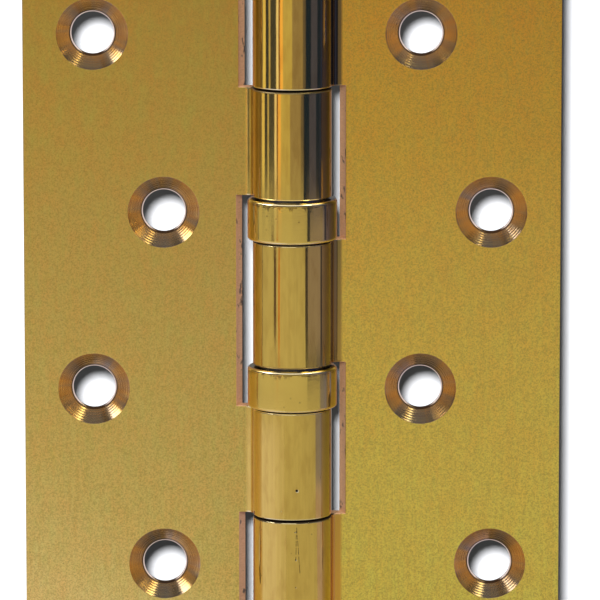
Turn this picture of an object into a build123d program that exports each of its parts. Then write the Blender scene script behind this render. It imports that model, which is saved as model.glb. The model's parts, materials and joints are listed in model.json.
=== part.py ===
from build123d import *
import os

# A brass butt hinge with two ball bearings in its barrel, opened flat
# Millimetres. +Z runs up the pin, +X points to the frame leaf, and the leaves lie behind the pin, towards +Y.
# The origin is on the pin's axis at half height.

# Leaves
leaf_height = 101.6
leaf_reach = 38.1
leaf_thickness = 2.5
closed_gap = 2.5
leaf_edge_chamfer = 0.2

# Barrel
knuckle_diameter = 11.2
root_fillet = 1.2
notch_clearance = 2.1
centre_notch_clearance = 2.45
centre_knuckle_length = 17.65
door_knuckle_length = 15.4
bearing_height = 6.35
knuckle_running_gap = 0.25
frame_bore_clearance = 0.02
door_bore_clearance = 0.05

# Screw holes: staggered in two columns on each leaf, one pitch apart in height
screw_hole_diameter = 6.0
countersink_diameter = 10.2
countersink_angle = 90
screw_pitch = 25.4
inner_column_reach = 18.25
outer_column_reach = 28.25

# Pin and tips
pin_diameter = 6.0
pin_end_chamfer = 0.4
pin_end_gap = 0.1
tip_height = 1.6
tip_edge_radius = 0.5
tip_spigot_length = 4.0

# Bearings, sized from the pin outwards
shell_wall = 0.7
shell_edge_radius = 0.45
shell_lip_width = 0.75
shell_lip_thickness = 0.5
shell_end_gap = 0.25
race_pin_clearance = 0.15
race_shell_clearance = 0.15
race_boss_clearance = 0.2
race_lip_clearance = 0.05
race_spacing = 0.9
ball_diameter = 1.588
ball_count = 8
ball_groove_clearance = 0.03
cage_thickness = 0.8
cage_race_overhang = 0.1
cage_pocket_clearance = 0.08
cage_rim_width = 0.2
cage_shell_clearance = 0.25

# Places worked out from the sizes above
knuckle_radius = knuckle_diameter / 2
notch_radius = knuckle_radius + notch_clearance
centre_notch_radius = knuckle_radius + centre_notch_clearance
leaf_front = closed_gap / 2
leaf_back = leaf_front + leaf_thickness
pin_radius = pin_diameter / 2
barrel_end = leaf_height / 2
centre_knuckle_end = centre_knuckle_length / 2
door_knuckle_inner_end = centre_knuckle_end + bearing_height
door_knuckle_outer_end = door_knuckle_inner_end + door_knuckle_length
end_knuckle_start = door_knuckle_outer_end + knuckle_running_gap
bearing_middle = centre_knuckle_end + bearing_height / 2

os.makedirs("parts", exist_ok=True)


def make_leaf(side, notches, bore_clearance, top_column_reach, next_column_reach):
    """A leaf as it is made: one drawn section, milled for the other leaf's knuckles, then bored and countersunk."""
    with BuildPart() as leaf:
        with BuildSketch(Plane.XY.offset(-leaf_height / 2)) as section:
            Circle(knuckle_radius)
            with Locations((side * leaf_reach / 2, (leaf_front + leaf_back) / 2)):
                Rectangle(leaf_reach, leaf_thickness)
            corners = section.vertices().filter_by(lambda corner: corner.Y > leaf_front / 2)
            roots = corners.sort_by(lambda corner: abs(corner.X))[0:2]
            fillet(roots, radius=root_fillet)
        extrude(amount=leaf_height)
        outer_edges = leaf.edges().filter_by(Axis.Z).sort_by(lambda edge: abs(edge.center().X))[-2:]
        chamfer(outer_edges, length=leaf_edge_chamfer)

        # The notches clear the other leaf's knuckles and the bearings all round the pin's axis
        for low, high, radius in notches:
            with BuildSketch(Plane.XY.offset(low)):
                Circle(radius)
            extrude(amount=high - low, mode=Mode.SUBTRACT)
        Hole(radius=pin_radius + bore_clearance)

        # From the top down the screw holes change column at each step
        reaches = (top_column_reach, next_column_reach, top_column_reach, next_column_reach)
        heights = (1.5 * screw_pitch, 0.5 * screw_pitch, -0.5 * screw_pitch, -1.5 * screw_pitch)
        places = [(side * reach, height) for reach, height in zip(reaches, heights)]
        with Locations(Plane.XZ.offset(-leaf_front)):
            with Locations(*places):
                CounterSinkHole(
                    radius=screw_hole_diameter / 2,
                    counter_sink_radius=countersink_diameter / 2,
                    counter_sink_angle=countersink_angle,
                )
    return leaf


# Frame leaf: its centre knuckle stands between the bearings and its end knuckles close the barrel
frame_leaf = make_leaf(
    side=1,
    notches=(
        (centre_knuckle_end, end_knuckle_start, notch_radius),
        (-end_knuckle_start, -centre_knuckle_end, notch_radius),
    ),
    bore_clearance=frame_bore_clearance,
    top_column_reach=inner_column_reach,
    next_column_reach=outer_column_reach,
)
frame_leaf.part.label = "frame_leaf"
export_step(frame_leaf.part, "parts/frame_leaf.step")

# Door leaf: its two knuckles turn on the pin between the frame leaf's knuckles
door_leaf = make_leaf(
    side=-1,
    notches=(
        (door_knuckle_outer_end, barrel_end, notch_radius),
        (-door_knuckle_inner_end, door_knuckle_inner_end, centre_notch_radius),
        (-barrel_end, -door_knuckle_outer_end, notch_radius),
    ),
    bore_clearance=door_bore_clearance,
    top_column_reach=outer_column_reach,
    next_column_reach=inner_column_reach,
)
door_leaf.part.label = "door_leaf"
export_step(door_leaf.part, "parts/door_leaf.step")

# Hinge pin: it fills the barrel between the spigots of the two tips
pin_length = leaf_height - 2 * (tip_spigot_length + pin_end_gap)
with BuildPart() as hinge_pin:
    with BuildSketch(Plane.XY.offset(-pin_length / 2)):
        Circle(pin_radius)
    extrude(amount=pin_length)
    chamfer(hinge_pin.edges().filter_by(GeomType.CIRCLE), length=pin_end_chamfer)
hinge_pin.part.label = "hinge_pin"
export_step(hinge_pin.part, "parts/hinge_pin.step")

# Tips: a plain button on the barrel's end, with a spigot down the bore
for tip_name, outward in (("top_tip", 1), ("bottom_tip", -1)):
    with BuildPart() as tip:
        with BuildSketch(Plane.XY.offset(outward * barrel_end)):
            Circle(knuckle_radius)
        extrude(amount=outward * tip_height)
        rim = tip.edges().filter_by(GeomType.CIRCLE).sort_by(lambda edge: abs(edge.center().Z))[-1]
        fillet(rim, radius=tip_edge_radius)
        with BuildSketch(Plane.XY.offset(outward * barrel_end)):
            Circle(pin_radius)
        extrude(amount=-outward * tip_spigot_length)
    tip.part.label = tip_name
    export_step(tip.part, f"parts/{tip_name}.step")

# Bearing sizes, measured from the bearing's own middle plane
race_bore_radius = pin_radius + race_pin_clearance
ball_radius = ball_diameter / 2
pocket_radius = ball_radius + cage_pocket_clearance
cage_inner_radius = race_bore_radius + cage_race_overhang
ball_pitch_radius = cage_inner_radius + cage_rim_width + pocket_radius
cage_outer_radius = ball_pitch_radius + pocket_radius + cage_rim_width
shell_bore_radius = cage_outer_radius + cage_shell_clearance
shell_radius = shell_bore_radius + shell_wall
shell_lip_radius = shell_bore_radius - shell_lip_width
shell_end = bearing_height / 2 - shell_end_gap
lip_face = shell_end - shell_lip_thickness
race_flange_radius = shell_bore_radius - race_shell_clearance
race_boss_radius = shell_lip_radius - race_boss_clearance
race_shoulder = lip_face - race_lip_clearance
race_face = race_spacing / 2
race_seat = bearing_height / 2

for bearing_name, middle in (("upper_bearing", bearing_middle), ("lower_bearing", -bearing_middle)):
    axial_plane = Plane(origin=(0, 0, middle), x_dir=(1, 0, 0), z_dir=(0, -1, 0))

    # Shell: a brass ring with a lip turned in at each end, which keeps the bearing together
    with BuildPart() as shell:
        with BuildSketch(axial_plane) as shell_section:
            with BuildLine():
                Polyline(
                    (shell_lip_radius, -shell_end),
                    (shell_radius, -shell_end),
                    (shell_radius, shell_end),
                    (shell_lip_radius, shell_end),
                    (shell_lip_radius, lip_face),
                    (shell_bore_radius, lip_face),
                    (shell_bore_radius, -lip_face),
                    (shell_lip_radius, -lip_face),
                    close=True,
                )
            make_face()
            fillet(shell_section.vertices().group_by(Axis.X)[-1], radius=shell_edge_radius)
        revolve(axis=Axis.Z)
    shell.part.label = bearing_name + "_shell"
    export_step(shell.part, f"parts/{bearing_name}_shell.step")

    # Races: a hardened washer against each knuckle, with a groove for the balls on its inner face
    for race_name, outward in (("top_race", 1), ("bottom_race", -1)):
        with BuildPart() as race:
            with BuildSketch(axial_plane):
                with BuildLine():
                    Polyline(
                        (race_bore_radius, outward * race_face),
                        (race_flange_radius, outward * race_face),
                        (race_flange_radius, outward * race_shoulder),
                        (race_boss_radius, outward * race_shoulder),
                        (race_boss_radius, outward * race_seat),
                        (race_bore_radius, outward * race_seat),
                        close=True,
                    )
                make_face()
                with Locations((ball_pitch_radius, 0)):
                    Circle(ball_radius + ball_groove_clearance, mode=Mode.SUBTRACT)
            revolve(axis=Axis.Z)
        race.part.label = f"{bearing_name}_{race_name}"
        export_step(race.part, f"parts/{bearing_name}_{race_name}.step")

    # Balls: evenly spaced on the pitch circle
    with BuildPart(Plane.XY.offset(middle)) as balls:
        with PolarLocations(ball_pitch_radius, ball_count):
            Sphere(ball_radius)
    balls.part.label = bearing_name + "_balls"
    export_step(balls.part, f"parts/{bearing_name}_balls.step")

    # Cage: a thin ring with one pocket for each ball
    with BuildPart() as cage:
        with BuildSketch(Plane.XY.offset(middle - cage_thickness / 2)):
            Circle(cage_outer_radius)
            Circle(cage_inner_radius, mode=Mode.SUBTRACT)
            with PolarLocations(ball_pitch_radius, ball_count):
                Circle(pocket_radius, mode=Mode.SUBTRACT)
        extrude(amount=cage_thickness)
    cage.part.label = bearing_name + "_cage"
    export_step(cage.part, f"parts/{bearing_name}_cage.step")
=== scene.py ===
import json
import math
from functools import reduce

import bmesh
import bpy
from mathutils import Matrix, Vector


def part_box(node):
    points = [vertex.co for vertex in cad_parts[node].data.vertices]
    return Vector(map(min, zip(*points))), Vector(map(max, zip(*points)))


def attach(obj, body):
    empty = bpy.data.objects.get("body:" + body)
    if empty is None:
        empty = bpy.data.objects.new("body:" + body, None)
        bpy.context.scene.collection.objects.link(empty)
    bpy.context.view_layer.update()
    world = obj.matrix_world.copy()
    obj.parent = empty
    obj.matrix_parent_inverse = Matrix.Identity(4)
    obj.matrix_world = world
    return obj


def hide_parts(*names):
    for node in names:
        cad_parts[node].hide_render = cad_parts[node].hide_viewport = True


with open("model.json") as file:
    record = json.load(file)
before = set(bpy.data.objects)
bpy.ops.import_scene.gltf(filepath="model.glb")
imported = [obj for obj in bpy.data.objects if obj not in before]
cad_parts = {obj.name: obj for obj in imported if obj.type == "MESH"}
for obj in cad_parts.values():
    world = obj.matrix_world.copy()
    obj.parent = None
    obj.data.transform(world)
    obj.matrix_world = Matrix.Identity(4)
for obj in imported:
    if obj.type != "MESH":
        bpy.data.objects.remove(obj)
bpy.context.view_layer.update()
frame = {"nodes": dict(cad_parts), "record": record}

# Sizes in metres. Those that the frame holds are read from it.
leaf_low, leaf_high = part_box("frame_leaf")
mounts = {mount["name"]: mount for mount in frame["record"]["mounts"]}

leaf_reach = leaf_high.x
leaf_height = leaf_high.z - leaf_low.z
leaf_end = leaf_high.z
barrel_radius = -leaf_low.y
leaf_back = mounts["frame_leaf_back"]["pos_m"][1]
leaf_thickness = 0.0025
leaf_front = leaf_back - leaf_thickness
root_radius = 0.0012
notch_clearance = 0.0021
centre_notch_clearance = 0.00245
notch_radius = barrel_radius + notch_clearance
centre_notch_radius = barrel_radius + centre_notch_clearance
door_knuckle_length = 0.0154
knuckle_gap = 0.00025
centre_knuckle_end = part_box("upper_bearing_bottom_race")[0].z
door_knuckle_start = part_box("upper_bearing_top_race")[1].z
door_knuckle_end = door_knuckle_start + door_knuckle_length
end_knuckle_start = door_knuckle_end + knuckle_gap
pin_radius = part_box("hinge_pin")[1].x
bore_clearance = 0.00003
bore_radius = pin_radius + bore_clearance
hole_radius = mounts["frame_leaf_inner_screws"]["dims"]["hole_r_mm"] / 1000
sink_radius = 0.0051
shell_wall = 0.0007
shell_lip_thickness = 0.0005
shell_lip_width = 0.00075
shell_edge_radius = 0.00045
tip_edge_radius = 0.0005
tip_seat_radius = 0.00012
end_notch_overrun = 0.002
floor_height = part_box("bottom_tip")[0].z

# The leaves' edges are rounded by this much on the barrel, and by a share of it elsewhere
edge_round = 0.0002
flat_share = 0.35
rim_share = 0.12

# The door leaf's knuckles reflect as if their axis stood this far beside the pin's
polish_offset = 0.0003

# Steps round a full turn
barrel_steps = 176
hole_steps = 96
shell_steps = 192
tip_steps = 160

# A leaf's finishes by slot: 0 is the satin plate and the polished barrel
sink_slot = 1
milled_slot = 2


class Value:
    """What one socket of a finish's nodes gives. Sums, products and powers of values add Math nodes."""

    def __init__(self, finish, socket):
        self.finish = finish
        self.socket = socket

    def maths(self, operation, first, second=0.0, clamp=False):
        settings = {"operation": operation, "use_clamp": clamp}
        return self.finish.node("ShaderNodeMath", settings, {0: first, 1: second})

    def __add__(self, other):
        return self.maths("ADD", self, other)

    def __radd__(self, other):
        return self.maths("ADD", other, self)

    def __sub__(self, other):
        return self.maths("SUBTRACT", self, other)

    def __rsub__(self, other):
        return self.maths("SUBTRACT", other, self)

    def __mul__(self, other):
        return self.maths("MULTIPLY", self, other)

    def __truediv__(self, other):
        return self.maths("DIVIDE", self, other)

    def __pow__(self, other):
        return self.maths("POWER", self, other)

    def sine(self):
        return self.maths("SINE", self)

    def least(self, other):
        return self.maths("MINIMUM", self, other)

    def most(self, other):
        return self.maths("MAXIMUM", self, other)

    def size(self):
        return self.maths("ABSOLUTE", self)

    def step(self, start, end):
        """0 before start and 1 after end, with a straight run between them; start may be the higher one."""
        return self.maths("MULTIPLY", self - start, 1 / (end - start), clamp=True)


class Finish:
    """A material and its nodes. One method adds any kind of node, and the others add the kinds used most."""

    def __init__(self, name, base=(0.8, 0.8, 0.8), **settings):
        self.material = bpy.data.materials.new(name)
        self.material.use_nodes = True
        self.tree = self.material.node_tree
        self.shader = self.tree.nodes["Principled BSDF"]
        self.shader.inputs["Base Color"].default_value = (*base, 1)
        for socket, amount in settings.items():
            self.shader.inputs[socket.replace("_", " ").title()].default_value = amount

    def node(self, kind, settings=None, sockets=None, output=0):
        """Adds a node of that kind, sets it up, feeds its sockets and returns what an output gives."""
        made = self.tree.nodes.new(kind)
        for key, setting in (settings or {}).items():
            setattr(made, key, setting)
        for key, fed in (sockets or {}).items():
            if isinstance(fed, Value):
                self.tree.links.new(fed.socket, made.inputs[key])
            else:
                made.inputs[key].default_value = fed
        return Value(self, made.outputs[output])

    def place(self):
        """A point's own place on the piece, in metres."""
        return self.node("ShaderNodeTexCoord", output="Object")

    def xyz(self, place):
        return [self.node("ShaderNodeSeparateXYZ", None, {0: place}, output=axis) for axis in (0, 1, 2)]

    def scaled(self, place, by):
        """Stretches a pattern: the higher the number for an axis, the finer the pattern along it."""
        return self.node("ShaderNodeVectorMath", {"operation": "MULTIPLY"}, {0: place, 1: by})

    def noise(self, place, scale, detail=2.0, rough=0.5):
        sockets = {"Vector": place, "Scale": scale, "Detail": detail, "Roughness": rough}
        return self.node("ShaderNodeTexNoise", None, sockets)

    def spots(self, place, scale, radius, rarity):
        """Round spots in some of the cells: 1 / scale is a cell's size, and radius a share of it."""
        cells = {"feature": "F1"}
        sockets = {"Vector": place, "Scale": scale}
        distance = self.node("ShaderNodeTexVoronoi", cells, sockets, output="Distance")
        tint = self.node("ShaderNodeTexVoronoi", cells, sockets, output="Color")
        chance = self.xyz(tint)[0]
        return distance.step(radius, radius * 0.5) * chance.step(rarity, rarity + 0.02)

    def mix(self, share, first, second):
        """Blends two colours by a share from 0 to 1."""
        first, second = (part if isinstance(part, Value) else (*part, 1) for part in (first, second))
        settings = {"data_type": "RGBA"}
        return self.node("ShaderNodeMix", settings, {0: share, 6: first, 7: second}, output=2)

    def blend(self, share, first, second):
        """Blends two vectors by a share from 0 to 1."""
        settings = {"data_type": "VECTOR"}
        return self.node("ShaderNodeMix", settings, {0: share, 4: first, 5: second}, output=1)

    def bump(self, height, distance, strength=1.0):
        sockets = {"Height": height, "Distance": distance, "Strength": strength}
        return self.node("ShaderNodeBump", None, sockets)

    def set(self, socket, value):
        self.tree.links.new(value.socket, self.shader.inputs[socket])


# Shapes


def new_piece(name, shape, *finishes):
    """Makes a piece of a bmesh, smooth-shaded up to its real edges."""
    bmesh.ops.recalc_face_normals(shape, faces=shape.faces[:])
    mesh = bpy.data.meshes.new(name)
    shape.to_mesh(mesh)
    shape.free()
    piece = bpy.data.objects.new(name, mesh)
    bpy.context.scene.collection.objects.link(piece)
    for finish in finishes:
        mesh.materials.append(finish.material)
    smooth(piece)
    return piece


def smooth(piece):
    """Shades a piece smoothly, apart from its edges of more than 30 degrees."""
    for face in piece.data.polygons:
        face.use_smooth = True
    piece.data.set_sharp_from_angle(angle=math.radians(30))


def finish_mesh(piece):
    """Applies a piece's modifiers, so that its mesh is what is seen."""
    seen = piece.evaluated_get(bpy.context.evaluated_depsgraph_get())
    mesh = bpy.data.meshes.new_from_object(seen)
    piece.modifiers.clear()
    piece.data = mesh
    mesh.name = piece.name


def cut(piece, tool):
    """Cuts a tool's shape out of a piece and throws the tool away."""
    removal = piece.modifiers.new("cut", "BOOLEAN")
    removal.operation = "DIFFERENCE"
    removal.object = tool
    removal.solver = "EXACT"
    removal.material_mode = "INDEX"
    finish_mesh(piece)
    bpy.data.objects.remove(tool)


def turn_profile(shape, profile, steps, closed):
    """Turns (radius, height) corners all round the pin's axis. An open profile begins and ends on it."""
    corners = [shape.verts.new((radius, 0, height)) for radius, height in profile]
    following = corners[1:] + corners[:1] if closed else corners[1:]
    edges = [shape.edges.new(ends) for ends in zip(corners, following)]
    bmesh.ops.spin(
        shape, geom=corners + edges, cent=(0, 0, 0), axis=(0, 0, 1), dvec=(0, 0, 0),
        angle=math.tau, steps=steps, use_merge=True, use_duplicate=False,
    )


def turned(profile, steps, closed=True):
    """A new shape turned from one profile."""
    shape = bmesh.new()
    turn_profile(shape, profile, steps, closed)
    bmesh.ops.remove_doubles(shape, verts=shape.verts[:], dist=1e-7)
    bmesh.ops.recalc_face_normals(shape, faces=shape.faces[:])
    return shape


def round_rims(shape, rims, radius, segments):
    """Rounds the circular edges of a turned shape that run at these (radius, height) corners."""
    def on_rim(edge, rim, height):
        return all(
            abs(math.hypot(vert.co.x, vert.co.y) - rim) < 1e-5 and abs(vert.co.z - height) < 1e-6
            for vert in edge.verts
        )

    edges = [edge for edge in shape.edges if any(on_rim(edge, *rim) for rim in rims)]
    bmesh.ops.bevel(
        shape, geom=edges, offset=radius, offset_type="OFFSET", affect="EDGES",
        segments=segments, profile=0.5, material=-1, clamp_overlap=False,
    )


def arc(shape, start, centre, degrees, steps):
    """Continues an outline from a corner round a centre, and returns the new corners in order."""
    made = bmesh.ops.spin(
        shape, geom=[start], cent=centre, axis=(0, 0, 1), dvec=(0, 0, 0),
        angle=math.radians(degrees), steps=steps, use_merge=False, use_duplicate=False,
    )
    chain = [made["geom_last"][0]]
    while len(chain) < steps:
        back = [edge.other_vert(chain[-1]) for edge in chain[-1].link_edges]
        chain.append(next(vert for vert in back if vert not in chain[-2:]))
    return chain[::-1]


def drawn_section(side):
    """The leaf as it leaves the draw bench: plate and barrel in one, over the whole height of the hinge.

    The roots between plate and barrel are rounded, on the front and on the back. The side is 1 for the frame
    leaf and -1 for the door leaf.
    """
    spread = barrel_radius + root_radius
    front_y = leaf_front - root_radius
    back_y = leaf_back + root_radius
    front_root = Vector((math.sqrt(spread**2 - front_y**2), front_y, 0))
    back_root = Vector((math.sqrt(spread**2 - back_y**2), back_y, 0))
    front_angle = math.degrees(math.atan2(front_root.y, front_root.x))
    back_angle = math.degrees(math.atan2(back_root.y, back_root.x))

    shape = bmesh.new()
    front_tangent = shape.verts.new((front_root.x, leaf_front, 0))
    outline = [front_tangent]
    outline += arc(shape, outline[-1], front_root, 90 + front_angle, steps=12)
    outline += arc(shape, outline[-1], Vector((0, 0, 0)), -(360 - back_angle + front_angle), barrel_steps)
    outline += arc(shape, outline[-1], back_root, 90 - back_angle, steps=10)
    outline.append(shape.verts.new((leaf_reach, leaf_back, 0)))
    outline.append(shape.verts.new((leaf_reach, leaf_front, 0)))
    section = shape.faces.new(outline)
    bmesh.ops.translate(shape, verts=shape.verts[:], vec=(0, 0, -leaf_end))
    drawn = bmesh.ops.extrude_face_region(shape, geom=[section])
    raised = [item for item in drawn["geom"] if isinstance(item, bmesh.types.BMVert)]
    bmesh.ops.translate(shape, verts=raised, vec=(0, 0, leaf_height))
    if side < 0:
        bmesh.ops.scale(shape, vec=(-1, 1, 1), verts=shape.verts[:])
    return shape


def cutting_tool(name, shape, slot):
    """A tool whose cut faces take the finish in that slot of the leaf."""
    piece = new_piece(name, shape)
    for face in piece.data.polygons:
        face.material_index = slot
    return piece


def milling_tool(notches):
    """The cylinders, each (low, high, radius), that clear the other leaf's knuckles and the bearings."""
    tool = bmesh.new()
    for low, high, radius in notches:
        slug = bmesh.ops.create_cone(
            tool, cap_ends=True, segments=barrel_steps, radius1=radius, radius2=radius, depth=high - low,
        )
        bmesh.ops.translate(tool, verts=slug["verts"], vec=(0, 0, (low + high) / 2))
    return cutting_tool("milling_tool", tool, milled_slot)


def bore_tool():
    """The long cylinder that bores the barrel for the pin."""
    tool = bmesh.new()
    bmesh.ops.create_cone(
        tool, cap_ends=True, segments=hole_steps, radius1=bore_radius, radius2=bore_radius,
        depth=leaf_height * 1.1,
    )
    return cutting_tool("bore_tool", tool, milled_slot)


def countersink_tool(places):
    """Cutters for the screw holes: a right-angled cone down to a straight hole."""
    cone_depth = sink_radius - hole_radius
    beyond = 0.001
    profile = [
        (0, -beyond),
        (sink_radius + beyond, -beyond),
        (hole_radius, cone_depth),
        (hole_radius, leaf_thickness + beyond),
        (0, leaf_thickness + beyond),
    ]
    tool = bmesh.new()
    for x, z in places:
        turn_profile(tool, profile, hole_steps, closed=False)
        fresh = [vert for vert in tool.verts if not vert.tag]
        turn = Matrix.Translation((x, leaf_front, z)) @ Matrix.Rotation(math.radians(-90), 4, "X")
        bmesh.ops.transform(tool, matrix=turn, verts=fresh)
        for vert in fresh:
            vert.tag = True
    bmesh.ops.remove_doubles(tool, verts=tool.verts[:], dist=1e-7)
    return cutting_tool("countersink_tool", tool, sink_slot)


def break_edges(piece, places):
    """Takes the sharpness off every edge, most on the barrel and least round the screw holes."""
    sharpest_smooth = math.radians(32)
    shape = bmesh.new()
    shape.from_mesh(piece.data)
    weight = shape.edges.layers.float.new("bevel_weight_edge")
    for edge in shape.edges:
        if edge.calc_face_angle(0) > sharpest_smooth:
            middle = (edge.verts[0].co + edge.verts[1].co) / 2
            if math.hypot(middle.x, middle.y) < barrel_radius * 1.02:
                edge[weight] = 1
            elif any(math.hypot(middle.x - x, middle.z - z) < sink_radius * 1.1 for x, z in places):
                edge[weight] = rim_share
            else:
                edge[weight] = flat_share
    shape.to_mesh(piece.data)
    shape.free()
    bevel = piece.modifiers.new("broken_edges", "BEVEL")
    bevel.limit_method = "WEIGHT"
    bevel.width = edge_round
    bevel.segments = 3
    bevel.profile = 0.5
    bevel.use_clamp_overlap = False
    bevel.miter_outer = "MITER_ARC"
    weighted = piece.modifiers.new("flat_faces", "WEIGHTED_NORMAL")
    weighted.keep_sharp = True
    weighted.weight = 100
    finish_mesh(piece)


def true_wall(piece, radius, offset=0):
    """Gives a piece's outer wall the normals of a true cylinder, so that what it reflects runs straight.

    The cylinder's axis may stand a fraction of a millimetre beside the pin's, as polishing leaves it.
    """
    off_wall = 0.00002
    facing_out = 0.998
    mesh = piece.data
    normals = [Vector(corner.vector) for corner in mesh.corner_normals]
    for face in mesh.polygons:
        outward = Vector((face.center.x, face.center.y, 0))
        square_on = face.normal.dot(outward.normalized()) > facing_out
        if square_on and abs(outward.length - radius) < off_wall:
            for corner in face.loop_indices:
                spot = mesh.vertices[mesh.loops[corner].vertex_index].co
                normals[corner] = Vector((spot.x + offset, spot.y, 0)).normalized()
    mesh.normals_split_custom_set(normals)


def screw_places(*names):
    """The (x, z) places of the screw holes in the named lines of holes."""
    places = []
    for name in names:
        x, _, z = mounts[name]["pos_m"]
        half = mounts[name]["dims"]["spacing_y_mm"] / 2000
        places += [(x, z - half), (x, z + half)]
    return places


def make_leaf(name, node, side, notches, places, finish):
    """One leaf with its knuckles: drawn, milled, bored, countersunk, and rounded at its edges."""
    leaf = new_piece(name, drawn_section(side), finish, turned_brass(name + "_sinks", places), milled_finish)
    cut(leaf, milling_tool(notches))
    cut(leaf, bore_tool())
    cut(leaf, countersink_tool(places))
    smooth(leaf)
    break_edges(leaf, places)
    true_wall(leaf, barrel_radius, offset=0 if side > 0 else polish_offset)
    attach(leaf, "frame_side" if side > 0 else "door_side")
    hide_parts(node)
    return leaf


def make_shell(name, node, finish):
    """A bearing's brass ring: rounded outer edges, and lips turned in at both ends."""
    low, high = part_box(node)
    radius = high.x
    bore = radius - shell_wall
    lip_bore = bore - shell_lip_width
    under_top_lip = high.z - shell_lip_thickness
    over_bottom_lip = low.z + shell_lip_thickness
    profile = [
        (lip_bore, low.z),
        (radius, low.z),
        (radius, high.z),
        (lip_bore, high.z),
        (lip_bore, under_top_lip),
        (bore, under_top_lip),
        (bore, over_bottom_lip),
        (lip_bore, over_bottom_lip),
    ]
    shape = turned(profile, shell_steps)
    round_rims(shape, [(radius, low.z), (radius, high.z)], shell_edge_radius, segments=8)
    shell = new_piece(name, shape, finish)
    true_wall(shell, radius)
    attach(shell, "frame_side")
    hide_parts(node)
    return shell


def make_tip(name, node, outward, finish):
    """A plain button on the barrel's end, with its spigot. Outward is 1 at the top and -1 at the bottom."""
    low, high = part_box(node)
    radius = high.x
    seat = leaf_end * outward
    crown = high.z if outward > 0 else low.z
    spigot_end = low.z if outward > 0 else high.z
    profile = [
        (0, crown),
        (radius, crown),
        (radius, seat),
        (pin_radius, seat),
        (pin_radius, spigot_end),
        (0, spigot_end),
    ]
    shape = turned(profile, tip_steps, closed=False)
    round_rims(shape, [(radius, crown)], tip_edge_radius, segments=7)
    round_rims(shape, [(radius, seat)], tip_seat_radius, segments=3)
    tip = new_piece(name, shape, finish)
    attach(tip, "frame_side")
    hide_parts(node)
    return tip


# Finishes

# Pale brass for burnished edges, and for the painted highlights beside the barrel's pits
burnish_and_glint = (1.0, 0.86, 0.5)
dirt_brown = (0.16, 0.09, 0.03)


def apart(x, z, spot_x, spot_z):
    """How far a point lies from a spot, seen from the front."""
    across = x - spot_x
    up = z - spot_z
    return (across * across + up * up) ** 0.5


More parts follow.
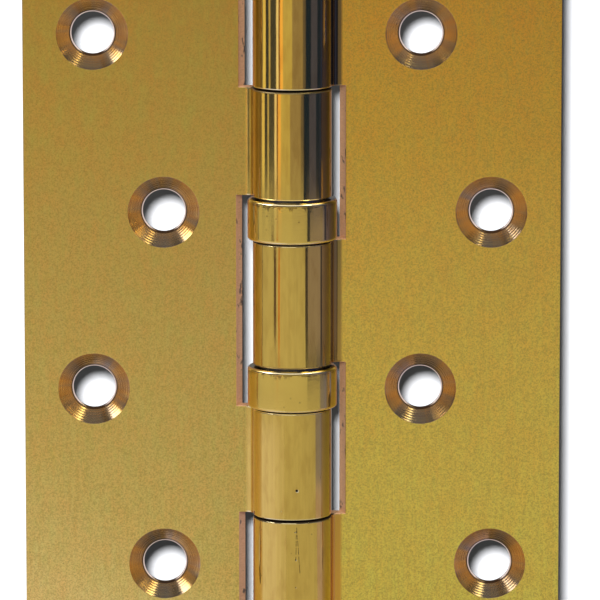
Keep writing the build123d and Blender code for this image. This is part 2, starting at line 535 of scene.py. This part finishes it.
def satin_brass(name, shaded_top_tones, lit_bottom_tones, pits, scratches):
    """The leaves: satin flat faces under lacquer, polished on the barrel, with specks, pits and scratches.

    Each pair of tones is for the patches on the flat faces, at the hinge's top and at its bottom: the top
    pair is darker as painted shade and the bottom pair paler as painted light. A pit is (x, z, radius) and a
    scratch is (x at its top, x at its bottom, highest z, lowest z). Both lie on the barrel's front.
    """
    olive_cast = (0.62, 0.56, 0.09)
    orange_cast = (0.80, 0.42, 0.06)
    grain_brown = (0.44, 0.28, 0.045)
    clean_barrel = (0.82, 0.56, 0.115)
    streaked_barrel = (0.66, 0.42, 0.085)
    smeared_barrel = (0.62, 0.38, 0.07)
    pin_mark_brown = (0.3, 0.18, 0.06)
    burnished_edge = (1.0, 0.84, 0.45)
    edge_shade_colour = (0.26, 0.18, 0.07)
    flank_shade_colour = (0.34, 0.285, 0.17)
    low_root_shade = (0.74, 0.38, 0.05)
    high_root_shade = (0.21, 0.15, 0.05)
    pit_black = (0.025, 0.016, 0.01)

    finish = Finish(name, metallic=1.0, coat_roughness=0.08)
    place = finish.place()
    x, y, z = finish.xyz(place)
    reach = (x * x + y * y) ** 0.5
    height = z.step(-leaf_end, leaf_end)

    # The polish ends beside the barrel, a little further out on the frame side
    further = x.step(-0.001, 0.001) * barrel_radius * 0.09
    plate = (reach - further).step(barrel_radius * 1.15, barrel_radius * 1.21)

    # Flat faces: soft olive and orange patches, darker towards the top as painted shade,
    # upright brushing, a fine grain and faint dark specks
    patches = finish.noise(finish.scaled(place, (520, 400, 300)), 1.0, 3, 0.6)
    greens = finish.noise(finish.scaled(place, (1500, 1200, 500)), 1.0, 2, 0.6)
    brushing = finish.noise(finish.scaled(place, (2600, 2600, 120)), 1.0, 2, 0.6)
    grain = finish.noise(place, 5200, 2, 0.6)
    spots = finish.spots(place, 1500, 0.17, 0.7)
    patch = patches.step(0.3, 0.7)
    tone = finish.mix(height, finish.mix(patch, *lit_bottom_tones), finish.mix(patch, *shaded_top_tones))
    tone = finish.mix(greens.step(0.5, 0.75) * 0.3, tone, olive_cast)
    tone = finish.mix(brushing.step(0.4, 0.7) * 0.22, tone, orange_cast)
    tone = finish.mix(grain.step(0.4, 0.7) * 0.62, tone, grain_brown)
    tone = finish.mix(spots * 0.3, tone, dirt_brown)

    # Barrel: polished, with faint smears, streaks along it and a few dark pin marks
    smears = finish.noise(finish.scaled(place, (900, 900, 260)), 1.0, 2, 0.6)
    streaks = finish.noise(finish.scaled(place, (2600, 2600, 90)), 1.0, 2, 0.6)
    marks = finish.spots(place, 700, 0.09, 0.8)
    polished = finish.mix(streaks.step(0.35, 0.7) * 0.4, clean_barrel, streaked_barrel)
    polished = finish.mix(smears.step(0.46, 0.66) * 0.5, polished, smeared_barrel)
    polished = finish.mix(marks * 0.7, polished, pin_mark_brown)

    # Wear on the front of the barrel: pits, black partly with dirt and partly as painted shade in their
    # hollows, each with a painted highlight beside its foot, and broken scratches
    front = y.step(0, -0.0005)
    holes = marks * 0.4
    glints = []
    for pit_x, pit_z, radius in pits:
        pit = apart(x, z, pit_x, pit_z).step(radius, radius * 0.75)
        glint_spot = apart(x, z, pit_x + radius * 0.35, pit_z - radius * 0.35).step(radius * 1.2, radius * 0.9)
        holes = holes.most(pit * front)
        glints.append(glint_spot * front)
    for top_x, low_x, top, bottom in scratches:
        lean = (top_x - low_x) / (top - bottom)
        wander = finish.noise(finish.scaled(place, (0, 0, 500)), 1.0, 2) - 0.5
        beside = (x - low_x - (z - bottom) * lean - wander * 0.00012).size()
        along = z.step(bottom, bottom + 0.0002) * z.step(top, top - 0.0002)
        broken = finish.noise(finish.scaled(place, (0, 0, 2600)), 1.0, 2).step(0.38, 0.52)
        holes = holes.most(beside.step(0.00007, 0.00003) * along * broken * front * 0.75)

    # The knuckles' end edges are burnished bright
    ends = (centre_knuckle_end, door_knuckle_start, door_knuckle_end, end_knuckle_start)
    burnished = reduce(Value.most, [(z.size() - end).size().step(0.00024, 0.00016) for end in ends])
    polished = finish.mix(burnished, polished, burnished_edge)

    # Two of them get painted shade instead, which dims their highlights: the upper door knuckle's top edge
    # and the centre knuckle's foot
    top_edge = (z - door_knuckle_end).size().step(0.00028, 0.0002)
    foot_edge = (z + centre_knuckle_end).size().step(0.00028, 0.0002)
    shaded_edges = top_edge.most(foot_edge) * (1 - plate)
    polished = finish.mix(shaded_edges * 0.85, polished, edge_shade_colour)

    # Painted shade, both strongest at the top: grey on the frame side's flank, and dark in the root behind
    # it, turning orange at the bottom
    side = x.step(barrel_radius * 0.68, barrel_radius * 0.84)
    shaded_flank = side * height.step(0, 0.33) * y.step(0.0008, -0.0008)
    beyond = reach.step(barrel_radius * 1.005, barrel_radius * 1.02)
    root_crease = beyond * x.step(0.004, 0.005) * y.step(0.003, 0.002)
    root_shade = finish.mix(height.step(0.1, 0.6), low_root_shade, high_root_shade)
    polished = finish.mix(shaded_flank * (1 - streaks * 0.25), polished, flank_shade_colour)
    polished = finish.mix(root_crease * 0.85, polished, root_shade)
    # Painted highlights beside the pits, then pits, pin marks and scratches in near black, partly painted
    # shade
    polished = finish.mix(reduce(Value.most, glints), polished, burnish_and_glint)
    polished = finish.mix(holes.least(1), polished, pit_black)

    barrel_roughness = 0.07 + streaks * 0.05 * (1 - plate)
    plate_roughness = plate * (0.19 + grain * 0.06)
    finish.set("Base Color", finish.mix(plate, polished, tone))
    finish.set("Coat Weight", 0.25 + plate * 0.5)
    finish.set("Roughness", barrel_roughness + plate_roughness + (holes + shaded_edges) * 0.3)
    ripple = finish.noise(finish.scaled(place, (420, 420, 130)), 1.0, 2)
    skin = grain * plate * 0.9 + (ripple * 1.6 - marks) * (1 - plate)
    finish.set("Normal", finish.bump(skin, 0.000007))
    return finish


def milled_brass():
    """Cut faces that nobody polished: pinkish notch walls, and knuckle ends and a bore painted near black as
    the shade between the knuckles and in the barrel.
    """
    pale_cut = (0.90, 0.55, 0.31)
    deep_cut = (0.74, 0.43, 0.23)
    stain_black = (0.03, 0.022, 0.018)
    gap_shade_brown = (0.05, 0.032, 0.018)

    finish = Finish("milled_brass")
    place = finish.place()
    x, y, _ = finish.xyz(place)
    outside = ((x * x + y * y) ** 0.5).step(barrel_radius * 1.02, barrel_radius * 1.12)
    stains = finish.noise(place, 420, 3, 0.6)
    lines = finish.noise(finish.scaled(place, (900, 900, 9000)), 1.0, 2)
    tone = finish.mix(lines.step(0.3, 0.7), pale_cut, deep_cut)
    tone = finish.mix(stains.step(0.6, 0.66) * 0.85, tone, stain_black)
    # Knuckle ends and bore in near black: painted shade
    finish.set("Base Color", finish.mix(outside, gap_shade_brown, tone))
    finish.set("Metallic", 0.6 - outside * 0.35)
    finish.set("Roughness", 0.42 + lines * 0.15)
    finish.set("Normal", finish.bump(lines, 0.00001))
    return finish


def turned_brass(name, places):
    """The countersinks: turned brass in rings, in sectors partly of tarnish and partly of painted
    reflection, darker at each one's foot as painted shade, with a pale painted highlight at the hole's edge.
    """
    clean_sector = (0.68, 0.39, 0.12)
    dull_sector = (0.40, 0.31, 0.23)
    foot_shade_colour = (0.30, 0.25, 0.20)
    bright_ring = (0.80, 0.58, 0.24)
    orange_sheen = (0.54, 0.29, 0.09)
    shade_ring_black = (0.05, 0.03, 0.025)
    pale_highlight = (0.80, 0.66, 0.60)
    ring_spacing = 0.0003

    finish = Finish(name)
    place = finish.place()
    x, y, z = finish.xyz(place)

    # Each point's distance from the nearest hole, and its direction from there with a number for the hole
    nearest = None
    spoke = None
    for hole_x, hole_z in places:
        across = x - hole_x
        up = z - hole_z
        away = (across * across + up * up) ** 0.5
        parts = {0: across / away, 1: up / away, 2: hole_x * 900}
        direction = finish.node("ShaderNodeCombineXYZ", None, parts)
        nearest = away if nearest is None else nearest.least(away)
        near = away.step(sink_radius * 1.3, sink_radius * 1.2)
        spoke = direction if spoke is None else finish.blend(near, spoke, direction)
    foot = finish.xyz(spoke)[1]

    rings = (nearest * (math.tau / ring_spacing)).sine()
    sectors = finish.noise(spoke, 1.7, 3, 0.6)
    sheen = finish.noise(spoke, 5.0, 2, 0.5)
    coarse = finish.noise(finish.node("ShaderNodeCombineXYZ", None, {0: nearest * 4000}), 1.0, 2)
    # Sectors of tone, partly tarnish and partly painted reflection, with painted shade at each countersink's
    # foot and a painted orange sheen
    tone = finish.mix(sectors.step(0.42, 0.6), clean_sector, dull_sector)
    tone = finish.mix(foot.step(-0.86, -0.97) * 0.7, tone, foot_shade_colour)
    tone = finish.mix(coarse.step(0.4, 0.7) * 0.3, tone, bright_ring)
    tone = finish.mix(sheen.step(0.5, 0.7) * 0.5, tone, orange_sheen)

    # The hole's edge: a thin pale ring of painted highlight, faint at the foot, with a dark ring of painted
    # shade round it and the wall behind it painted dark as shade
    lip_depth = leaf_front + sink_radius - hole_radius
    shown = y.step(lip_depth + 0.00014, lip_depth + 0.00008) * foot.step(-0.92, -0.75)
    highlight_ring = nearest.step(hole_radius + 0.00018, hole_radius + 0.00012) * shown
    shade_ring = nearest.step(hole_radius + 0.00038, hole_radius + 0.00026)
    tone = finish.mix(shade_ring * 0.85, tone, shade_ring_black)
    finish.set("Base Color", finish.mix(highlight_ring, tone, pale_highlight))
    finish.set("Metallic", 0.9 - highlight_ring * 0.7)
    finish.set("Roughness", 0.14 + coarse * 0.06 + highlight_ring * 0.3)
    finish.set("Normal", finish.bump(rings * 0.4 + coarse, 0.000006))
    return finish


def polished_brass(name, base, rims=(), feet=()):
    """The bearing rings, tips and cages: polished brass with faint scratches.

    The edges at the heights of the rings' rims and feet are burnished bright, and dirt hangs below the rims.
    """
    smeared_brass = (0.72, 0.47, 0.095)
    flank_shade_colour = (0.32, 0.29, 0.25)

    finish = Finish(name, metallic=1.0, coat_weight=0.25, coat_roughness=0.05)
    place = finish.place()
    x, y, z = finish.xyz(place)
    smears = finish.noise(place, 260, 3)
    scratches = finish.noise(finish.scaled(place, (900, 900, 6000)), 1.0, 2)
    dints = finish.noise(finish.scaled(place, (1300, 1300, 260)), 1.0, 2, 0.6)
    nicks = finish.spots(place, 900, 0.15, 0.75) * 0.6
    worn = finish.mix(smears.step(0.3, 0.7) * 0.5, base, smeared_brass)
    for rim in rims:
        below = (rim - z).step(0.00042, 0.0005)
        drips = (rim - z).step(0.0012, 0.0007) * dints.step(0.55, 0.62)
        line = (rim - z).step(0.00068, 0.00056) * dints.step(0.42, 0.5)
        nicks = nicks.most(below * drips.most(line) * 0.9)
        worn = finish.mix((z - rim).size().step(0.00042, 0.00036), worn, burnish_and_glint)
    if rims:
        # Painted shade: the rings' right flank greyed, strongest on the upper ring
        shaded_flank = x.step(0.0042, 0.0051) * y.step(0.0008, -0.0008) * z.step(-0.024, 0.006)
        worn = finish.mix(shaded_flank * 0.9, worn, flank_shade_colour)
    for foot in feet:
        worn = finish.mix((z - foot).size().step(0.00026, 0.0002), worn, burnish_and_glint)
    finish.set("Base Color", finish.mix(nicks * 0.75, worn, dirt_brown))
    finish.set("Roughness", 0.07 + smears * 0.06 + nicks * 0.15)
    finish.set("Normal", finish.bump(scratches * 0.25 + smears - nicks, 0.00001, 0.6))
    return finish


def ground_steel(name, base, rough):
    """Steel inside the barrel: ground all round, with a little oil staining."""
    finish = Finish(name, metallic=1.0)
    place = finish.place()
    stain = finish.noise(place, 700, 3)
    lines = finish.noise(finish.scaled(place, (800, 800, 14000)), 1.0, 2)
    finish.set("Base Color", finish.mix(stain.step(0.35, 0.7), base, tuple(0.7 * part for part in base)))
    finish.set("Roughness", rough + lines * 0.12)
    finish.set("Normal", finish.bump(lines, 0.000004, 0.5))
    return finish


# Studio


def stage_finish(name, colour):
    """Matt paint, a very little cloudy."""
    finish = Finish(name, base=colour, roughness=0.9)
    place = finish.place()
    cloud = finish.noise(place, 6, 2)
    finish.set("Base Color", finish.mix(cloud * 0.06, colour, tuple(0.9 * part for part in colour)))
    return finish


def glow_finish(name, colour, base=(0, 0, 0)):
    """A matt card that gives off an even light of its own."""
    finish = Finish(name, base=base, roughness=1.0)
    finish.shader.inputs["Specular IOR Level"].default_value = 0
    finish.shader.inputs["Emission Color"].default_value = (*colour, 1)
    finish.shader.inputs["Emission Strength"].default_value = 1
    return finish


def make_floor():
    """The plain pale floor, a hair below the hinge's foot."""
    half_width = 3.0
    hair = 0.0002
    shape = bmesh.new()
    bmesh.ops.create_grid(shape, x_segments=2, y_segments=2, size=half_width)
    bmesh.ops.translate(shape, verts=shape.verts[:], vec=(0, 0, floor_height - hair))
    floor = new_piece("floor", shape, stage_finish("floor_paint", (0.82, 0.82, 0.82)))


def make_card(name, start, end, foot, head, colour):
    """A studio card that only shows in polished metal: a strip round the barrel between two angles.

    The angles are in degrees from the camera, more to the right. The foot and the head, its lower and
    upper edge, run at (distance from the pin, height above the floor).
    """
    shape = bmesh.new()
    outward = Vector((math.sin(math.radians(start)), -math.cos(math.radians(start)), 0))
    ends = [
        shape.verts.new(outward * distance + Vector((0, 0, floor_height + height)))
        for distance, height in (foot, head)
    ]
    edge = shape.edges.new(ends)
    bmesh.ops.spin(
        shape, geom=[*ends, edge], cent=(0, 0, 0), axis=(0, 0, 1), dvec=(0, 0, 0),
        angle=math.radians(end - start), steps=max(1, round((end - start) / 3)), use_merge=False,
        use_duplicate=False,
    )
    card = new_piece(name, shape, glow_finish(name, colour))
    card.visible_camera = False
    card.visible_diffuse = False
    card.visible_shadow = False
    card.visible_transmission = False
    return card


def make_light(name, place, target, size, power, colour=(1, 1, 1)):
    """A soft, square-cornered lamp that points at its target."""
    lamp = bpy.data.lights.new(name, "AREA")
    lamp.shape = "RECTANGLE"
    lamp.size, lamp.size_y = size
    lamp.energy = power
    lamp.color = colour
    light = bpy.data.objects.new(name, lamp)
    bpy.context.scene.collection.objects.link(light)
    light.location = place
    light.rotation_euler = (Vector(target) - Vector(place)).to_track_quat("-Z", "Y").to_euler()
    light.visible_camera = False
    return light


def make_world(glow, seen):
    """Even, pale light from all round, and a paler backcloth where the camera looks straight at it."""
    world = bpy.data.worlds.new("studio")
    world.use_nodes = True
    nodes = world.node_tree.nodes
    links = world.node_tree.links
    lighting = nodes["Background"]
    lighting.inputs["Color"].default_value = (*glow, 1)
    backcloth = nodes.new("ShaderNodeBackground")
    backcloth.inputs["Color"].default_value = (*seen, 1)
    path = nodes.new("ShaderNodeLightPath")
    blend = nodes.new("ShaderNodeMixShader")
    links.new(path.outputs["Is Camera Ray"], blend.inputs[0])
    links.new(lighting.outputs[0], blend.inputs[1])
    links.new(backcloth.outputs[0], blend.inputs[2])
    links.new(blend.outputs[0], nodes["World Output"].inputs["Surface"])
    bpy.context.scene.world = world


def make_backdrop():
    """A board close behind the hinge, which shows only from the front and takes the hinge's soft shadow."""
    behind = 0.043
    half_width = 0.056
    upright = Matrix.Rotation(math.radians(90), 3, "X")
    shape = bmesh.new()
    bmesh.ops.create_grid(shape, x_segments=2, y_segments=2, size=half_width)
    bmesh.ops.rotate(shape, verts=shape.verts[:], cent=(0, 0, 0), matrix=upright)
    bmesh.ops.translate(shape, verts=shape.verts[:], vec=(0, behind, floor_height + half_width))
    finish = glow_finish("backdrop_card", (0.010, 0.011, 0.013), base=(0.085, 0.086, 0.089))
    clear = finish.node("ShaderNodeBsdfTransparent")
    away = finish.node("ShaderNodeNewGeometry", output="Backfacing")
    shown = finish.node("ShaderNodeMixShader", None, {0: away, 2: clear})
    finish.tree.links.new(finish.shader.outputs[0], shown.socket.node.inputs[1])
    finish.tree.links.new(shown.socket, finish.tree.nodes["Material Output"].inputs["Surface"])
    backdrop = new_piece("backdrop", shape, finish)
    if backdrop.data.polygons[0].normal.y > 0:
        backdrop.data.flip_normals()
    backdrop.visible_diffuse = False
    backdrop.visible_glossy = False
    backdrop.visible_transmission = False
    backdrop.visible_shadow = False
    return backdrop


def make_camera():
    """The photograph's view: straight on, from a little above."""
    elevation = math.radians(9)
    distance = 0.8
    frame_width = 0.0853
    aim = Vector((0.0011, leaf_front, 0.0001))
    data = bpy.data.cameras.new("camera")
    data.sensor_width = 36
    data.lens = data.sensor_width * distance / frame_width
    camera = bpy.data.objects.new("camera", data)
    bpy.context.scene.collection.objects.link(camera)
    away = Vector((0, -math.cos(elevation), math.sin(elevation)))
    camera.location = aim + away * distance
    camera.rotation_euler = (-away).to_track_quat("-Z", "Y").to_euler()
    data.clip_start = 0.01
    bpy.context.scene.camera = camera
    return camera


def light_only(light, *pieces):
    """Lets a lamp, or a card's glow, light these pieces and nothing else."""
    lit = bpy.data.collections.new(light.name + "_lights")
    for piece in pieces:
        lit.objects.link(piece)
    light.light_linking.receiver_collection = lit


def light_backdrop(backdrop, camera):
    """A soft lamp near the camera, for the backdrop alone. It sets the hinge's shadow a little aside."""
    lamp = bpy.data.lights.new("backdrop_lamp", "POINT")
    lamp.energy = 400
    lamp.shadow_soft_size = 0.0175
    light = bpy.data.objects.new("backdrop_lamp", lamp)
    bpy.context.scene.collection.objects.link(light)
    from_camera = Vector((-0.019, 0, 0.031))
    light.location = camera.location + from_camera
    light_only(light, backdrop)


# The object

frame_places = screw_places("frame_leaf_inner_screws", "frame_leaf_outer_screws")
door_places = screw_places("door_leaf_inner_screws", "door_leaf_outer_screws")
milled_finish = milled_brass()
shells = ("upper_bearing_shell", "lower_bearing_shell")
ring_tops = [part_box(shell)[1].z for shell in shells]
ring_feet = [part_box(shell)[0].z for shell in shells]
bright_finish = polished_brass("polished_brass", (0.86, 0.60, 0.125), ring_tops, ring_feet)

frame_brass = make_leaf(
    "frame_leaf_brass", "frame_leaf", 1,
    [
        (centre_knuckle_end, end_knuckle_start, notch_radius),
        (-end_knuckle_start, -centre_knuckle_end, notch_radius),
    ],
    frame_places,
    satin_brass(
        "frame_leaf_satin",
        # The top tones darker and the bottom tones paler, as painted shade and painted light
        shaded_top_tones=((0.86, 0.46, 0.032), (0.90, 0.40, 0.03)),
        lit_bottom_tones=((0.95, 0.84, 0.13), (1.0, 0.77, 0.11)),
        pits=[(0.0004, -0.0322, 0.00009), (0.0005, -0.0362, 0.00012), (0.0005, -0.0402, 0.00008)],
        scratches=[(0.00062, 0.00112, -0.0314, -0.0385), (0.0006, 0.0005, -0.0318, -0.0364)],
    ),
)
door_brass = make_leaf(
    "door_leaf_brass", "door_leaf", -1,
    [
        (door_knuckle_end, leaf_end + end_notch_overrun, notch_radius),
        (-door_knuckle_start, door_knuckle_start, centre_notch_radius),
        (-leaf_end - end_notch_overrun, -door_knuckle_end, notch_radius),
    ],
    door_places,
    satin_brass(
        "door_leaf_satin",
        # The top tones darker and the bottom tones paler, as painted shade and painted light
        shaded_top_tones=((0.56, 0.38, 0.05), (0.64, 0.32, 0.042)),
        lit_bottom_tones=((0.88, 0.71, 0.18), (0.97, 0.66, 0.16)),
        pits=[(0.00064, -0.0262, 0.00022), (-0.0016, -0.0292, 0.00006)],
        scratches=[],
    ),
)
upper_ring = make_shell("upper_bearing_ring", "upper_bearing_shell", bright_finish)
lower_ring = make_shell("lower_bearing_ring", "lower_bearing_shell", bright_finish)
top_button = make_tip("top_button", "top_tip", 1, bright_finish)
bottom_button = make_tip("bottom_button", "bottom_tip", -1, bright_finish)
hinge_pieces = (frame_brass, door_brass, upper_ring, lower_ring, top_button, bottom_button)

# The pin and the bearings' insides keep the frame's own shapes, by the endings of their names
inner_finishes = (
    ("hinge_pin", ground_steel("pin_steel", (0.5, 0.5, 0.51), 0.25)),
    ("race", ground_steel("race_steel", (0.42, 0.42, 0.44), 0.3)),
    ("balls", ground_steel("ball_steel", (0.7, 0.7, 0.72), 0.08)),
    ("cage", polished_brass("cage_brass", (0.7, 0.48, 0.17))),
)
for ending, finish in inner_finishes:
    for name, cad_piece in frame["nodes"].items():
        if name.endswith(ending):
            cad_piece.data.materials.clear()
            cad_piece.data.materials.append(finish.material)

# The studio

bpy.context.scene.view_settings.view_transform = "Standard"
make_floor()
make_world((0.13, 0.13, 0.14), (0.86, 0.87, 0.88))
camera = make_camera()

# Edges that the cards share, as (distance from the pin, height above the floor)
far_foot = (0.45, 0.0085)
dark_foot = (0.45, 0.0006)
far_head = (0.45, 0.085)
wall_head = (0.45, 0.13)
near_foot = (0.25, 0.004)
near_head = (0.25, 0.026)
shade_head = (0.25, 0.032)
floor_near = (0.03, 0.0004)
floor_middle = (0.14, 0.0004)
floor_far = (0.25, 0.0004)
floor_end = (0.45, 0.0004)
floor_front = (0.02, 0.0006)
floor_back = (0.2, 0.0006)

# Dark and bright cards all round the barrel: name, first and last angle, foot, head and glow
cards = (
    ("far_left_shade", -150, -96, far_foot, far_head, (0.10, 0.10, 0.20)),
    ("left_pale_line", -95, -83, far_foot, far_head, (0.88, 0.80, 0.55)),
    ("left_shade", -83, -72, far_foot, far_head, (0.04, 0.05, 0.13)),
    ("left_thin_line", -72, -66, far_foot, far_head, (0.60, 0.56, 0.50)),
    ("left_dark", -66, -47, far_foot, far_head, (0.07, 0.08, 0.16)),
    ("pale_line", -47, -40, far_foot, far_head, (1.05, 1.0, 1.2)),
    ("red_edge", -40, -36, far_foot, far_head, (0.13, 0.05, 0.06)),
    ("amber", -36, -27, far_foot, far_head, (1.1, 0.70, 0.35)),
    ("yellow", -27, 0, far_foot, far_head, (0.62, 0.58, 0.40)),
    ("olive", 0, 31, far_foot, far_head, (0.34, 0.30, 0.33)),
    ("olive_edge", 31, 39, far_foot, far_head, (0.14, 0.13, 0.22)),
    ("right_dark", 39, 56, dark_foot, wall_head, (0.014, 0.03, 0.14)),
    ("right_streak", 56, 78, dark_foot, wall_head, (0.075, 0.09, 0.36)),
    ("right_gap", 78, 90, dark_foot, wall_head, (0.016, 0.03, 0.14)),
    ("right_shade", 90, 150, dark_foot, wall_head, (0.03, 0.045, 0.18)),
    ("near_left_line", -55, -47, (0.25, 0.007), near_head, (0.10, 0.07, 0.12)),
    ("near_orange_line", -41, -36, near_foot, near_head, (0.62, 0.28, 0.10)),
    ("near_right_line", 38, 46, (0.25, 0.008), near_head, (0.05, 0.05, 0.12)),
    ("near_right_shade", 46, 90, near_foot, shade_head, (0.31, 0.29, 0.50)),
    ("near_right_dark", 90, 150, near_foot, shade_head, (0.07, 0.07, 0.13)),
    ("right_floor_near", 76, 150, floor_near, floor_middle, (0.50, 0.44, 0.70)),
    ("right_floor_middle", 76, 150, floor_middle, floor_far, (0.27, 0.28, 0.60)),
    ("right_floor_far", 76, 150, floor_far, floor_end, (0.06, 0.07, 0.12)),
    ("right_floor_side", 39, 76, floor_far, floor_end, (0.06, 0.07, 0.12)),
    ("left_floor_far", -150, -96, floor_far, floor_end, (0.12, 0.12, 0.22)),
    ("left_floor_near", -112, -46, floor_front, floor_back, (0.74, 0.74, 1.0)),
    ("left_floor_soft", -46, -32, floor_front, floor_back, (0.70, 0.70, 0.86)),
    ("left_floor_edge", -32, -18, floor_front, floor_back, (0.63, 0.63, 0.70)),
    ("left_wall", -150, -60, far_head, wall_head, (0.03, 0.04, 0.1)),
)
for card in cards:
    make_card(*card)

middle = (0, 0, 0)
make_light("upper_left", (-0.47, -0.10, 0.38), middle, size=(0.26, 0.2), power=0.75)
make_light("upper_right", (0.31, -0.21, 0.53), middle, size=(0.15, 0.2), power=0.5, colour=(1, 0.97, 0.6))
floor_wash = make_light("floor_wash", (0, -0.4, 0.8), (0, -0.3, floor_height), size=(0.6, 0.6), power=3.4)
floor_wash.visible_glossy = False

# The leaves alone get a glow on their flat faces and a lamp on the knuckles' edges
front_glow = make_card("front_glow", -45, 45, (0.6, 0.11), (0.6, 0.28), (0.8, 0.8, 0.85))
rim_lamp = make_light("rim_lamp", (-0.1, -0.5, 0.5), middle, size=(0.5, 0.4), power=0.6)
light_only(front_glow, frame_brass, door_brass)
light_only(rim_lamp, frame_brass, door_brass)

# A strip overhead draws a line round the rings' rims, and an unreflected lamp fills the milled faces
ring_strip = make_card("ring_strip", -165, 165, (0.70, 0.55), (0.40, 1.0), (1.1, 1.05, 1.05))
front_fill = make_light("front_fill", (0, -0.7, 0.25), (0, -0.1, 0), size=(0.5, 0.2), power=5.4)
front_fill.visible_glossy = False
light_only(ring_strip, upper_ring, lower_ring)
light_only(front_fill, *hinge_pieces)

light_backdrop(make_backdrop(), camera)

bpy.context.view_layer.update()
